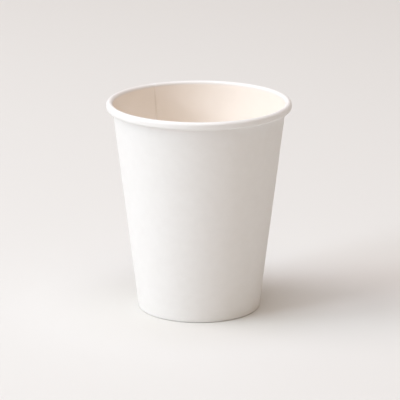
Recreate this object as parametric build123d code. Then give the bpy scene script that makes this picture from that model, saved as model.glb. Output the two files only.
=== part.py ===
from build123d import *
import math
import os

# A single-wall paper cup for a hot drink, made as the real one is from two pieces of coated board.
# side_wall is a fan-shaped blank wrapped into a cone. Its two straight edges overlap in a sealed
# side seam, its top edge is rolled outwards into the drinking rim, and its bottom edge is folded in
# and up. bottom_disc is a round blank whose edge is turned down into a skirt, which the fold grips.
# Frame: millimetres, +Z up, origin on the table at the cup's axis. The front of the cup is at -Y.

# Overall sizes
CUP_HEIGHT = 92.0  # table to the top of the rim
RIM_DIAMETER = 80.0  # over the outside of the rolled rim
BASE_DIAMETER = 53.2  # over the wall's outer face, carried down to the table

# Board
WALL_BOARD = 0.30  # thickness of the side wall's board
BOTTOM_BOARD = 0.28  # thickness of the bottom's board
SEAL = 0.02  # between the bottom's skirt and the board on each side of it

# Rolled rim, by its outer face: over the top, down a short straight side, and back underneath
RIM_TOP_RADIUS = 1.36
RIM_SIDE = 1.04
RIM_UNDER_TURN = 170.0  # degrees that the edge turns on from straight down, to inside the roll
RIM_EDGE_GAP = 0.16  # from the edge inside the roll to the wall, where the wall is doubled

# Bottom fold of the side wall, and the bottom that it holds
CREASE_RADIUS = 0.05  # inside each of the fold's two creases
FOLD_HEIGHT = 6.0  # table to the folded edge inside the base
BOTTOM_BEND_RADIUS = 0.5  # inside the bend between the bottom and its skirt
BEND_GAP = 0.5  # from the folded edge up to where that bend begins
SKIRT_GAP = 0.10  # from the creases up to the skirt's lower edge
RECESS_DEPTH = FOLD_HEIGHT + BEND_GAP + BOTTOM_BEND_RADIUS  # table to the underside of the bottom

# Side seam, by the angle about +Z from +X
SEAM_ANGLE = 122.7  # where the inner edge of the lap is
SEAM_LAP = 6.5  # how far the edges overlap, measured along the wall's outer face at the base
SEAM_RAMP = 1.9  # width, at the rim, in which the outer board climbs over the inner edge


def direction(angle):
    """Unit vector in the radius-height plane, at an angle in degrees above the outward radius."""
    return Vector(math.cos(math.radians(angle)), math.sin(math.radians(angle)))


def wall_slope():
    """Degrees that the wall leans out from upright, so that it meets the base and the rolled rim."""
    centre_out = (RIM_DIAMETER - BASE_DIAMETER) / 2 - RIM_TOP_RADIUS
    centre_up = CUP_HEIGHT - RIM_TOP_RADIUS
    wall_to_centre = RIM_TOP_RADIUS - WALL_BOARD
    base_to_centre = math.hypot(centre_out, centre_up)
    lean_of_centre = math.atan2(centre_out, centre_up)
    return math.degrees(lean_of_centre - math.asin(wall_to_centre / base_to_centre))


SLOPE = wall_slope()
SLOPE_COSINE = math.cos(math.radians(SLOPE))
UP_THE_WALL = direction(90 - SLOPE)
OUT_OF_THE_WALL = direction(-SLOPE)


def on_wall(depth, height):
    """The point DEPTH in from the wall's outer face, square to it, at a height above the table."""
    foot = BASE_DIAMETER / 2 - depth / SLOPE_COSINE
    return Vector(foot + height * math.tan(math.radians(SLOPE)), height)


def under_radius():
    """Radius of the rolled rim's underside, which leaves its edge the gap from the doubled wall."""
    doubled_wall = on_wall(-WALL_BOARD, CUP_HEIGHT - RIM_TOP_RADIUS - RIM_SIDE)
    return (RIM_DIAMETER / 2 - doubled_wall.X - RIM_EDGE_GAP) / 2


def follow(start, heading, steps):
    """Edges from a start point and a heading in degrees. A step is (length, 0) for a straight, or
    (radius, turn) for an arc that turns left by so many degrees, or right if that is below 0."""
    edges = []
    at = start
    for size, turn in steps:
        if turn:
            centre = at + direction(heading + math.copysign(90, turn)) * size
            spoke = at - centre
            middle = centre + spoke.rotate(Axis.Z, turn / 2)
            end = centre + spoke.rotate(Axis.Z, turn)
            edges.append(ThreePointArc(at, middle, end))
        else:
            end = at + direction(heading) * size
            edges.append(Line(at, end))
        heading += turn
        at = end
    return edges


def section(*lines):
    """Face between two lines of edges that run the same way, in the plane Y = 0, height along Z."""
    first, second = lines
    start_cap = Line(first[0] @ 0, second[0] @ 0)
    end_cap = Line(first[-1] @ 1, second[-1] @ 1)
    outline = Wire([*first, end_cap, *second, start_cap])
    return Plane.XZ * make_face(outline)


def side_line(depth, fold_floor, crease):
    """One face of the side wall's board: from the folded edge inside the base, down and round the
    fold, up the wall and round the rim. DEPTH is from the single wall's outer face, FOLD_FLOOR is
    the face's height above the table in the fold, and CREASE is its radius in the two creases."""
    out_of_drink_face = WALL_BOARD - depth
    fold_gap = BOTTOM_BOARD + 2 * SEAL + 2 * out_of_drink_face
    flat = (fold_gap - 2 * crease) / SLOPE_COSINE
    outer_crease = on_wall(depth, fold_floor + crease) - Vector(crease / SLOPE_COSINE, 0)
    inner_crease = outer_crease - Vector(flat, 0)
    hem_foot = inner_crease - OUT_OF_THE_WALL * crease
    wall_foot = outer_crease + OUT_OF_THE_WALL * crease
    hem_length = (FOLD_HEIGHT - hem_foot.Y) / SLOPE_COSINE
    top_radius = RIM_TOP_RADIUS - out_of_drink_face
    wall_top = CUP_HEIGHT - RIM_TOP_RADIUS + top_radius * math.sin(math.radians(SLOPE))
    wall_length = (wall_top - wall_foot.Y) / SLOPE_COSINE
    steps = [
        (hem_length, 0),
        (crease, 90 + SLOPE),
        (flat, 0),
        (crease, 90 - SLOPE),
        (wall_length, 0),
        (top_radius, SLOPE - 180),
        (RIM_SIDE, 0),
        (under_radius() - out_of_drink_face, -RIM_UNDER_TURN),
    ]
    return follow(hem_foot + UP_THE_WALL * hem_length, -90 - SLOPE, steps)


def make_side_wall():
    """The cone with its seam. Its single board is revolved most of the way round. In the lap there
    are two boards, the inner one flush with the single wall, and the outer one ramps out to pass
    over it."""
    inside = side_line(WALL_BOARD, WALL_BOARD, CREASE_RADIUS)
    outside = side_line(0, 0, CREASE_RADIUS + WALL_BOARD)
    single = section(inside, outside)
    lap_inside = side_line(WALL_BOARD, 2 * WALL_BOARD, CREASE_RADIUS)
    between = side_line(0, WALL_BOARD, CREASE_RADIUS + WALL_BOARD)
    lap_outside = side_line(-WALL_BOARD, 0, CREASE_RADIUS + 2 * WALL_BOARD)
    doubled = section(lap_inside, lap_outside)
    outer_board = section(between, lap_outside)
    lap_angle = math.degrees(SEAM_LAP / (BASE_DIAMETER / 2))
    ramp_angle = math.degrees(SEAM_RAMP / (RIM_DIAMETER / 2))
    lap_end = Rot(Z=SEAM_ANGLE + lap_angle) * single
    cone = revolve(lap_end, Axis.Z, 360 - lap_angle - ramp_angle)
    lap = revolve(Rot(Z=SEAM_ANGLE) * doubled, Axis.Z, lap_angle)
    ramp_start = Rot(Z=SEAM_ANGLE - ramp_angle) * single
    ramp = loft([ramp_start, Rot(Z=SEAM_ANGLE) * outer_board], ruled=True)
    return cone + lap + ramp


def make_bottom_disc():
    """The round bottom, with its skirt down between the wall and the fold."""
    skirt_foot = 2 * WALL_BOARD + CREASE_RADIUS + SKIRT_GAP
    lines = []
    for depth, radius, height in (
        (WALL_BOARD + SEAL, BOTTOM_BEND_RADIUS + BOTTOM_BOARD, RECESS_DEPTH + BOTTOM_BOARD),
        (WALL_BOARD + SEAL + BOTTOM_BOARD, BOTTOM_BEND_RADIUS, RECESS_DEPTH),
    ):
        bend = on_wall(depth, height - radius) - Vector(radius / SLOPE_COSINE, 0)
        skirt_top = bend + OUT_OF_THE_WALL * radius
        steps = [
            (bend.X, 0),
            (radius, -90 - SLOPE),
            ((skirt_top.Y - skirt_foot) / SLOPE_COSINE, 0),
        ]
        lines.append(follow(Vector(0, height), 0, steps))
    return revolve(section(*lines), Axis.Z, 360)


os.makedirs("parts", exist_ok=True)
export_step(make_side_wall(), "parts/side_wall.step")
export_step(make_bottom_disc(), "parts/bottom_disc.step")
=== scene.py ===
import math

import bpy
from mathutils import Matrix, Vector, noise


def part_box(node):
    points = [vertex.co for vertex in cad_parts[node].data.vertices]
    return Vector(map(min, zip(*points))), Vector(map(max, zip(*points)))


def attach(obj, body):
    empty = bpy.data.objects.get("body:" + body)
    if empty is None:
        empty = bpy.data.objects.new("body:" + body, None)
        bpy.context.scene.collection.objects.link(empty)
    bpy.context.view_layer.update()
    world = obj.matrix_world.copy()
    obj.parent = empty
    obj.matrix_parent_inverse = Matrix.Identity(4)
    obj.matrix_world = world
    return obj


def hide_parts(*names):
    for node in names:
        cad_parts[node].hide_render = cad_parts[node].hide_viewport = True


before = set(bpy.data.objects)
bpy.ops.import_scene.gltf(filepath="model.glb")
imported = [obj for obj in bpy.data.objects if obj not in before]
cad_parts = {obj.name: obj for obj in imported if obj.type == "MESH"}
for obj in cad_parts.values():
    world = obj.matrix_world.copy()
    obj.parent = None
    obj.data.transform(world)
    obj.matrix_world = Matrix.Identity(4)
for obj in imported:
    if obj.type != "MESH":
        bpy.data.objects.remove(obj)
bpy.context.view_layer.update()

# THE SIDE WALL
# One fan-shaped blank of white cup board, wrapped once round a cone and lapped over itself in a
# heat-sealed seam. Its top edge is curled out and under into the drinking rim, and its bottom edge
# is folded in and up, where it grips the bottom. A thin plastic coating lines its drink side.
CUP_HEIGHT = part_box("side_wall")[1].z
RIM_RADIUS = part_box("side_wall")[1].y
BASE_RADIUS = 0.0266  # the wall's outer face, carried down to the table
WALL_BOARD = 0.00030
BOTTOM_BOARD = 0.00028
SEAL = 0.00002  # between the bottom's skirt and the board on each side of it
RIM_TOP_RADIUS = 0.00136  # the roll's outer face, from the wall over the top to its straight side
RIM_SIDE = 0.00104  # the straight side of the roll
RIM_UNDER_TURN = math.radians(170)
RIM_EDGE_GAP = 0.00016  # from the edge inside the roll to the wall, where the wall is doubled
CREASE_RADIUS = 0.00014
FOLD_HEIGHT = 0.0060
SEAM_START = math.radians(122.7)  # the blank's inner edge, by the angle about +Z from +X
SEAM_LAP = math.radians(14.0)
SEAM_RAMP = math.radians(2.7)  # where the outer end of the blank climbs over the inner edge
SEAM_RIDGE = 0.00008  # pressed in towards the drink by the sealing clamp, beside the inner edge
RIDGE_FROM_EDGE = 0.55 * SEAM_RAMP
RIDGE_SPREAD = 0.28 * SEAM_RAMP
LAP_GAP = 0.00001  # between the two boards of the lap
LAP_STEP = WALL_BOARD + LAP_GAP
WANDER = 0.00009  # how far the wall strays from a true cone, at most
WANDER_AROUND = 1.3  # swells to each radian round the wall
WANDER_UP = 28  # swells to each metre up the wall
FOLD_HOLD = 0.02  # the fold holds the wall true at its foot, and lets go of it by this height
ROLL_HOLD = 0.0035  # the roll holds the wall true down to this far below the top
ROLL_HOLD_FADE = 0.012  # and lets go of it over this much more
CUT_CORNER = math.radians(35)  # a sharper bend than this is a cut corner, and looks like one

ROLL_UP = CUP_HEIGHT - RIM_TOP_RADIUS
ROLL_OUT = RIM_RADIUS - RIM_TOP_RADIUS - BASE_RADIUS
SLOPE = math.atan2(ROLL_OUT, ROLL_UP) - math.asin(
    (RIM_TOP_RADIUS - WALL_BOARD) / math.hypot(ROLL_OUT, ROLL_UP)
)
DRINK, OUTER, EDGE = 0, 1, 2  # the board's drink face, its outer face and its cut edges


def smooth(value):
    """0 below 0, 1 above 1, and an even S between."""
    value = min(max(value, 0.0), 1.0)
    return value * value * (3 - 2 * value)


def wall_radius(depth, height):
    """Radius of the wall, so far in from its outer face, at a height above the table."""
    return BASE_RADIUS - depth / math.cos(SLOPE) + height * math.tan(SLOPE)


def trace(start, heading, steps):
    """Points (radius, height) along straights and arcs. A step is its length or radius, how far
    it turns to the left, and how many pieces it is cut into."""
    at = complex(*start)
    points = [at]
    for size, turn, count in steps:
        side = heading + math.copysign(math.pi / 2, turn)
        centre = at + size * complex(math.cos(side), math.sin(side))
        along = size * complex(math.cos(heading), math.sin(heading))
        for k in range(1, count + 1):
            part = turn * k / count
            swing = complex(math.cos(part), math.sin(part))
            points.append(centre + (at - centre) * swing if turn else at + along * k / count)
        heading += turn
        at = points[-1]
    return [(point.real, point.imag) for point in points]


def board_line(depth, floor, crease):
    """One face of the board as (radius, height) points, from the folded edge inside the base,
    down and round the fold, up the wall and round the rim."""
    outwards = WALL_BOARD - depth
    lean = math.cos(SLOPE)
    fold_gap = BOTTOM_BOARD + 2 * SEAL + 2 * outwards
    flat = (fold_gap - 2 * crease) / lean
    outer_crease = wall_radius(depth, floor + crease) - crease / lean
    hem_foot_out = outer_crease - flat - crease * lean
    hem_foot_up = floor + crease + crease * math.sin(SLOPE)
    hem_length = (FOLD_HEIGHT - hem_foot_up) / lean
    wall_foot_up = floor + crease - crease * math.sin(SLOPE)
    top_radius = RIM_TOP_RADIUS - outwards
    wall_top_up = ROLL_UP + top_radius * math.sin(SLOPE)
    doubled_wall = wall_radius(-WALL_BOARD, ROLL_UP - RIM_SIDE)
    under_radius = (RIM_RADIUS - doubled_wall - RIM_EDGE_GAP) / 2 - outwards
    start = (hem_foot_out + hem_length * math.sin(SLOPE), FOLD_HEIGHT)
    steps = [
        (hem_length, 0, 5),
        (crease, math.pi / 2 + SLOPE, 5),
        (flat, 0, 1),
        (crease, math.pi / 2 - SLOPE, 5),
        ((wall_top_up - wall_foot_up) / lean, 0, 40),
        (top_radius, SLOPE - math.pi, 18),
        (RIM_SIDE, 0, 4),
        (under_radius, -RIM_UNDER_TURN, 20),
    ]
    return trace(start, -math.pi / 2 - SLOPE, steps)


def below_roll(height):
    """1 on the plain wall, fading to 0 where the roll holds it."""
    return smooth((CUP_HEIGHT - ROLL_HOLD - height) / ROLL_HOLD_FADE)


def unevenness(angle, height):
    """How far light board wanders from a true cone: in swells a few centimetres across, and not
    at all where the fold and the roll stiffen it."""
    free = smooth(height / FOLD_HOLD) * below_roll(height)
    out, across = math.cos(angle) * WANDER_AROUND, math.sin(angle) * WANDER_AROUND
    return free * WANDER * noise.noise(Vector((out, across, height * WANDER_UP)))


def strip_angles():
    """The angles that cut the wrapped blank into strips, closer where it bends at the seam."""
    stretches = (
        (SEAM_LAP, 12),
        (SEAM_RAMP, 8),
        (2 * math.pi - SEAM_LAP - 2 * SEAM_RAMP, 300),
        (SEAM_RAMP, 12),
        (SEAM_LAP, 12),
    )
    angles = [SEAM_START]
    for width, count in stretches:
        first = angles[-1]
        angles += [first + width * k / count for k in range(1, count + 1)]
    return angles


def wrap_blank():
    """The wrapped blank's two faces, as columns of points, the drink side first. The blank's two
    ends pass the seam a board apart: the inner end lies on the cone and the outer end over it."""
    faces = ([], [])
    for angle in strip_angles():
        turned = angle - SEAM_START
        to_edge = turned - 2 * math.pi
        climb = smooth(to_edge / SEAM_RAMP + 1) ** 3
        ridge = SEAM_RIDGE * math.exp(-(((to_edge + RIDGE_FROM_EDGE) / RIDGE_SPREAD) ** 2))
        over = climb * LAP_STEP
        under = (1 - smooth((turned - SEAM_LAP) / SEAM_RAMP)) * LAP_STEP
        floor = WALL_BOARD + under
        crease = CREASE_RADIUS + over
        drink_line = board_line(WALL_BOARD - over, floor, crease)
        outer_line = board_line(-over, floor - WALL_BOARD, crease + WALL_BOARD)
        for face, line in zip(faces, (drink_line, outer_line)):
            swell = [(r + unevenness(angle, z) - ridge * below_roll(z), z) for r, z in line]
            face.append([(r * math.cos(angle), r * math.sin(angle), z) for r, z in swell])
    return faces


def strip_faces(at, c, d, rows):
    """Both faces of a sheet between columns C and D of its points. AT numbers a point by its
    side, column and row."""
    faces = []
    for r in range(rows - 1):
        s = r + 1
        on_drink = at(DRINK, c, r), at(DRINK, c, s), at(DRINK, d, s), at(DRINK, d, r)
        on_outer = at(OUTER, c, r), at(OUTER, d, r), at(OUTER, d, s), at(OUTER, c, s)
        faces += [(DRINK, on_drink), (OUTER, on_outer)]
    return faces


def blank_skin(columns, rows):
    """The closed skin of the wrapped blank, whose points are the drink face's columns and then
    the outer face's: both faces, and the cut edges along its foot, its roll and its two ends."""

    def at(side, column, row):
        return (side * columns + column) * rows + row

    faces = []
    top = rows - 1
    for c in range(columns - 1):
        d = c + 1
        faces += strip_faces(at, c, d, rows)
        fold_edge = at(DRINK, c, 0), at(DRINK, d, 0), at(OUTER, d, 0), at(OUTER, c, 0)
        roll_edge = at(DRINK, c, top), at(OUTER, c, top), at(OUTER, d, top), at(DRINK, d, top)
        faces += [(EDGE, fold_edge), (EDGE, roll_edge)]
    last = columns - 1
    for r in range(rows - 1):
        s = r + 1
        inner_end = at(DRINK, 0, r), at(OUTER, 0, r), at(OUTER, 0, s), at(DRINK, 0, s)
        outer_end = at(DRINK, last, r), at(DRINK, last, s), at(OUTER, last, s), at(OUTER, last, r)
        faces += [(EDGE, inner_end), (EDGE, outer_end)]
    return faces


def make_piece(name, points, faces, finishes):
    """A smooth-shaded mesh piece. Each face is DRINK, OUTER or EDGE, and its corners. The three
    finishes are in that order."""
    mesh = bpy.data.meshes.new(name)
    mesh.from_pydata(points, [], [corners for _, corners in faces])
    for polygon, (finish, _) in zip(mesh.polygons, faces):
        polygon.material_index = finish
        polygon.use_smooth = True
    for finish in finishes:
        mesh.materials.append(finish)
    mesh.set_sharp_from_angle(angle=CUT_CORNER)
    piece = bpy.data.objects.new(name, mesh)
    bpy.context.scene.collection.objects.link(piece)
    return piece


WHITE, WHITE_DARK = (0.875, 0.872, 0.862), (0.850, 0.846, 0.835)
# The drink face's cream is partly the coating's own warm tint and partly painted light: it is set
# lighter and warmer than the board, standing in for the light that bounces about inside the cup and
# passes through its wall.
BOUNCE_CREAM, BOUNCE_CREAM_DARK = (0.978, 0.920, 0.855), (0.965, 0.904, 0.836)
PULP, PULP_DARK = (0.80, 0.77, 0.71), (0.66, 0.62, 0.55)
RIM_WHITE = (0.865, 0.860, 0.850)
CLOUDS = 260  # to the metre: the soft clouds that fibres settle in
FLECKS = 2300  # to the metre: bundles of fibres
CLOUD_SHARE, FLECK_SHARE = 0.7, 0.3  # of the drift from the dark tone to the light one
NOISE_LOW, NOISE_HIGH = 0.3, 0.7  # nearly all of a noise texture's values lie between these
GLOSS_DRIFT = 0.05  # how far the roughness drifts each way
RIM_FADE_BELOW, RIM_FADE_ABOVE = 0.0006, 0.0007  # the cream with its painted bounce light gives way to the board's white over this much about ROLL_UP


def board_finish(name, light, dark, roughness, fibre_depth, specular):
    """Cup board. Its colour drifts between two near tones in soft clouds a few millimetres across,
    as fibres settle in the sheet, under a finer fleck. Its fibres show as a shallow bump."""
    finish = bpy.data.materials.new(name)
    finish.use_nodes = True
    nodes, links = finish.node_tree.nodes, finish.node_tree.links
    shader = nodes["Principled BSDF"]
    shader.inputs["Specular IOR Level"].default_value = specular
    place = nodes.new("ShaderNodeTexCoord").outputs["Object"]

    def cloud(scale, detail, rough):
        """Noise over the piece, SCALE features to the metre."""
        texture = nodes.new("ShaderNodeTexNoise")
        texture.inputs["Scale"].default_value = scale
        texture.inputs["Detail"].default_value = detail
        texture.inputs["Roughness"].default_value = rough
        links.new(place, texture.inputs["Vector"])
        return texture.outputs["Fac"]

    def spread(value, to_low, to_high):
        """A noise's usual range of values, carried to another range."""
        node = nodes.new("ShaderNodeMapRange")
        node.inputs["From Min"].default_value = NOISE_LOW
        node.inputs["From Max"].default_value = NOISE_HIGH
        node.inputs["To Min"].default_value = to_low
        node.inputs["To Max"].default_value = to_high
        links.new(value, node.inputs["Value"])
        return node.outputs["Result"]

    settled = cloud(CLOUDS, detail=3, rough=0.55)
    fibres = cloud(FLECKS, detail=4, rough=0.65)
    both = nodes.new("ShaderNodeMath")
    both.operation = "ADD"
    links.new(spread(settled, 0, CLOUD_SHARE), both.inputs[0])
    links.new(spread(fibres, 0, FLECK_SHARE), both.inputs[1])
    tone = nodes.new("ShaderNodeMix")
    tone.data_type = "RGBA"
    tone.inputs["A"].default_value = (*dark, 1)
    tone.inputs["B"].default_value = (*light, 1)
    links.new(both.outputs[0], tone.inputs["Factor"])
    links.new(tone.outputs["Result"], shader.inputs["Base Color"])
    gloss = spread(fibres, roughness - GLOSS_DRIFT, roughness + GLOSS_DRIFT)
    links.new(gloss, shader.inputs["Roughness"])
    bump = nodes.new("ShaderNodeBump")
    bump.inputs["Strength"].default_value = 1.0
    bump.inputs["Distance"].default_value = fibre_depth
    links.new(both.outputs[0], bump.inputs["Height"])
    links.new(bump.outputs["Normal"], shader.inputs["Normal"])
    return finish


def rim_without_painted_bounce(finish):
    """Gives the roll the board's plain white in place of the drink face's cream and its painted
    bounce
    light: above the wall's top by height, and round the roll's outer side by distance from the cup's
    axis."""
    nodes, links = finish.node_tree.nodes, finish.node_tree.links
    shader = nodes["Principled BSDF"]
    bounce_cream = shader.inputs["Base Color"].links[0].from_socket
    place = nodes["Texture Coordinate"].outputs["Object"]
    split = nodes.new("ShaderNodeSeparateXYZ")
    links.new(place, split.inputs[0])
    # Past the wall's top, the cream with its painted bounce light gives way to the board's white.
    past_wall_top = nodes.new("ShaderNodeMapRange")
    past_wall_top.interpolation_type = "SMOOTHSTEP"
    past_wall_top.inputs["From Min"].default_value = ROLL_UP - RIM_FADE_BELOW
    past_wall_top.inputs["From Max"].default_value = ROLL_UP + RIM_FADE_ABOVE
    links.new(split.outputs["Z"], past_wall_top.inputs["Value"])
    level = nodes.new("ShaderNodeVectorMath")
    level.operation = "MULTIPLY"
    level.inputs[1].default_value = (1, 1, 0)
    links.new(place, level.inputs[0])
    from_axis = nodes.new("ShaderNodeVectorMath")
    from_axis.operation = "LENGTH"
    links.new(level.outputs["Vector"], from_axis.inputs[0])
    beyond = nodes.new("ShaderNodeMath")
    beyond.operation = "GREATER_THAN"
    beyond.inputs[1].default_value = RIM_RADIUS - RIM_TOP_RADIUS
    links.new(from_axis.outputs["Value"], beyond.inputs[0])
    on_roll = nodes.new("ShaderNodeMath")
    on_roll.operation = "MAXIMUM"
    links.new(past_wall_top.outputs["Result"], on_roll.inputs[0])
    links.new(beyond.outputs[0], on_roll.inputs[1])
    mix = nodes.new("ShaderNodeMix")
    mix.data_type = "RGBA"
    mix.inputs["B"].default_value = (*RIM_WHITE, 1)
    links.new(on_roll.outputs[0], mix.inputs["Factor"])
    links.new(bounce_cream, mix.inputs["A"])
    links.new(mix.outputs["Result"], shader.inputs["Base Color"])


outer_face = board_finish(
    "white_board", WHITE, WHITE_DARK, roughness=0.62, fibre_depth=0.000006, specular=0.4
)
drink_face = board_finish(
    "coated_board", BOUNCE_CREAM, BOUNCE_CREAM_DARK, roughness=0.45, fibre_depth=0.000004, specular=0.5
)
rim_without_painted_bounce(drink_face)
cut_edge = board_finish(
    "cut_edge", PULP, PULP_DARK, roughness=0.85, fibre_depth=0.00003, specular=0.2
)

inside, outside = wrap_blank()
side_wall = make_piece(
    "cup_side_wall",
    [point for face in (inside, outside) for column in face for point in column],
    blank_skin(len(inside), len(inside[0])),
    (drink_face, outer_face, cut_edge),
)
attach(side_wall, "root")
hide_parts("side_wall")

# THE BOTTOM
# A round blank of the same coated board, coated side up, with its edge drawn down into a skirt.
# The skirt stands between the wall and the wall's bottom fold, and is heat-sealed to both.
BEND_RADIUS = 0.0005  # inside the bend between the bottom and its skirt
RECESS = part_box("bottom_disc")[1].z - BOTTOM_BOARD  # from the table up to the bottom's underside
SKIRT_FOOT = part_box("bottom_disc")[0].z
CROWN = 0.0003  # how far the sealing heat lifts the middle of the bottom
PUCKERS = 96  # where the flat blank is drawn in round the bend
PUCKER_RISE = 0.000012
PUCKER_SPREAD = 0.0012  # how far the puckers run to each side of the bend's start
PUCKER_REACH = 0.0001  # how far they run down the bend, below the bottom's underside
FIRST_RING = 0.0015  # radius of the ring of points next to the centre
FLAT_RINGS = 22  # more rings from there out to the bend
BOTTOM_AROUND = 3 * PUCKERS  # points in each ring


def bottom_line(depth, radius, height):
    """One face of the bottom as (radius, height) points, from beside its centre, out to the bend
    and down the skirt."""
    bend_out = wall_radius(depth, height - radius) - radius / math.cos(SLOPE)
    skirt_up = height - radius - radius * math.sin(SLOPE)
    steps = [
        (bend_out - FIRST_RING, 0, FLAT_RINGS),
        (radius, -math.pi / 2 - SLOPE, 10),
        ((skirt_up - SKIRT_FOOT) / math.cos(SLOPE), 0, 6),
    ]
    flat_line = trace((FIRST_RING, height), 0, steps)
    lifted = []
    for out, up in flat_line:
        rise = CROWN * smooth(1 - out / bend_out) if out < bend_out else 0
        lifted.append((out, up + rise))
    return lifted


def make_bottom():
    """The bottom's closed skin: two faces that each close on a middle point, and a cut edge."""
    upper = bottom_line(WALL_BOARD + SEAL, BEND_RADIUS + BOTTOM_BOARD, RECESS + BOTTOM_BOARD)
    lower = bottom_line(WALL_BOARD + SEAL + BOTTOM_BOARD, BEND_RADIUS, RECESS)
    bend_start = upper[FLAT_RINGS][0]
    rows = len(upper)
    points = [(0, 0, RECESS + BOTTOM_BOARD + CROWN), (0, 0, RECESS + CROWN)]
    for line in (upper, lower):
        for k in range(BOTTOM_AROUND):
            angle = 2 * math.pi * k / BOTTOM_AROUND
            for out, up in line:
                near_bend = math.exp(-(((out - bend_start) / PUCKER_SPREAD) ** 2))
                pucker = PUCKER_RISE * near_bend * math.sin(PUCKERS * angle)
                height = up + pucker * (up > RECESS - PUCKER_REACH)
                points.append((out * math.cos(angle), out * math.sin(angle), height))

    def at(side, column, row):
        return 2 + (side * BOTTOM_AROUND + column % BOTTOM_AROUND) * rows + row

    faces = []
    foot = rows - 1
    for c in range(BOTTOM_AROUND):
        d = c + 1
        faces.append((DRINK, (0, at(DRINK, c, 0), at(DRINK, d, 0))))
        faces.append((OUTER, (1, at(OUTER, d, 0), at(OUTER, c, 0))))
        faces += strip_faces(at, c, d, rows)
        skirt_edge = at(DRINK, c, foot), at(OUTER, c, foot), at(OUTER, d, foot), at(DRINK, d, foot)
        faces.append((EDGE, skirt_edge))
    return make_piece("cup_bottom", points, faces, (bottom_coat, outer_face, cut_edge))


bottom_coat = board_finish(
    "coated_bottom", BOUNCE_CREAM, BOUNCE_CREAM_DARK, roughness=0.42, fibre_depth=0.000005, specular=0.5
)
bottom = make_bottom()
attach(bottom, "root")
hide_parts("bottom_disc")

# THE TABLE
# A wide, pale, matt surface that runs back out of sight. The cup only stands on it, and it isn't
# part of the cup.
TABLE_RADIUS = 2.4
TABLE_SIDES = 96
TABLE_UP = -0.00014  # a folded paper edge is never quite flat, and touches only here and there
TABLE_TONE = (0.755, 0.757, 0.736)
table_edge = []
for k in range(TABLE_SIDES):
    turn = 2 * math.pi * k / TABLE_SIDES
    table_edge.append((math.cos(turn) * TABLE_RADIUS, math.sin(turn) * TABLE_RADIUS, TABLE_UP))
table_mesh = bpy.data.meshes.new("table_top")
table_mesh.from_pydata(table_edge, [], [range(TABLE_SIDES)])
table_finish = bpy.data.materials.new("matt_table")
table_finish.use_nodes = True
table_shader = table_finish.node_tree.nodes["Principled BSDF"]
table_shader.inputs["Base Color"].default_value = (*TABLE_TONE, 1)
table_shader.inputs["Roughness"].default_value = 0.9
table_shader.inputs["Specular IOR Level"].default_value = 0.2
table_mesh.materials.append(table_finish)
table_top = bpy.data.objects.new("table_top", table_mesh)
bpy.context.scene.collection.objects.link(table_top)

# THE LIGHT
# Three soft lamps stand to the cup's left, from beside it round to the front, and two wide ones hang
# overhead. A weak one stands behind, and the room gives a warm fill that is lighter near the horizon.
LAMP_DISTANCE = 2.5
LAMP_AIM = Vector((0, 0, 0.04))
ROOM_LOW, ROOM_HIGH = (0.82, 0.79, 0.77), (0.345, 0.261, 0.190)
HORIZON_LOW, HORIZON_HIGH = 0.01, 0.07  # sines of the elevations between which the room changes


def soft_lamp(name, around, above, size, watts, colour):
    """A round soft lamp that faces the cup. AROUND is its angle from the front towards the left."""
    lamp = bpy.data.lights.new(name, "AREA")
    lamp.shape = "DISK"
    lamp.size = size
    lamp.energy = watts
    lamp.color = colour
    stand = bpy.data.objects.new(name, lamp)
    around, above = math.radians(around), math.radians(above)
    level = math.cos(above)
    towards = Vector((-math.sin(around) * level, -math.cos(around) * level, math.sin(above)))
    stand.location = towards * LAMP_DISTANCE + LAMP_AIM
    stand.rotation_euler = towards.to_track_quat("Z", "Y").to_euler()
    bpy.context.scene.collection.objects.link(stand)


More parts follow.
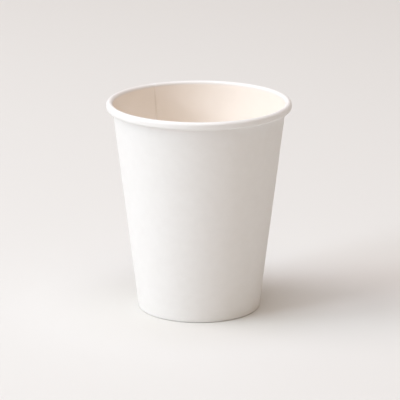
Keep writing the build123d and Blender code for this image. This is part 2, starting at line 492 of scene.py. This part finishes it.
soft_lamp("side_lamp", around=90, above=54, size=1.4, watts=20.3, colour=(1.0, 0.94, 0.98))
soft_lamp("left_lamp", around=70, above=34, size=1.4, watts=19.2, colour=(0.75, 0.94, 1.0))
soft_lamp("front_lamp", around=55, above=22, size=0.6, watts=13.0, colour=(0.83, 0.86, 1.0))
soft_lamp("high_lamp", around=0, above=70, size=1.8, watts=9.8, colour=(1.0, 0.97, 0.87))
soft_lamp("top_lamp", around=0, above=89, size=1.8, watts=22.6, colour=(0.75, 0.81, 1.0))
soft_lamp("back_lamp", around=150, above=30, size=1.8, watts=2.4, colour=(0.85, 1.0, 0.97))
room = bpy.data.worlds.new("room")
room.use_nodes = True
nodes, links = room.node_tree.nodes, room.node_tree.links
upward = nodes.new("ShaderNodeSeparateXYZ")
links.new(nodes.new("ShaderNodeTexCoord").outputs["Generated"], upward.inputs[0])
above_horizon = nodes.new("ShaderNodeMapRange")
above_horizon.interpolation_type = "SMOOTHSTEP"
above_horizon.inputs["From Min"].default_value = HORIZON_LOW
above_horizon.inputs["From Max"].default_value = HORIZON_HIGH
links.new(upward.outputs["Z"], above_horizon.inputs["Value"])
fill = nodes.new("ShaderNodeMix")
fill.data_type = "RGBA"
fill.inputs["A"].default_value = (*ROOM_LOW, 1)
fill.inputs["B"].default_value = (*ROOM_HIGH, 1)
links.new(above_horizon.outputs["Result"], fill.inputs["Factor"])
links.new(fill.outputs["Result"], nodes["Background"].inputs["Color"])
nodes["Background"].inputs["Strength"].default_value = 1.0
bpy.context.scene.world = room

# THE VIEW
# From a little above the rim, just over a metre away, through a long lens. The front of the cup is
# at -Y.
VIEW_DISTANCE = 1.1323
VIEW_ELEVATION = math.radians(15.73)
VIEW_AIM = Vector((0.0004, 0.0, 0.0475))
camera = bpy.data.cameras.new("view")
camera.sensor_width = 36.0
camera.lens = 233.7
camera.clip_start = 0.05
camera.clip_end = 60.0
view = bpy.data.objects.new("view", camera)
towards_view = Vector((0.0, -math.cos(VIEW_ELEVATION), math.sin(VIEW_ELEVATION)))
view.location = VIEW_AIM + towards_view * VIEW_DISTANCE
view.rotation_euler = (math.pi / 2 - VIEW_ELEVATION, 0.0, 0.0)
bpy.context.scene.collection.objects.link(view)
bpy.context.scene.camera = view
bpy.context.scene.view_settings.view_transform = "Standard"
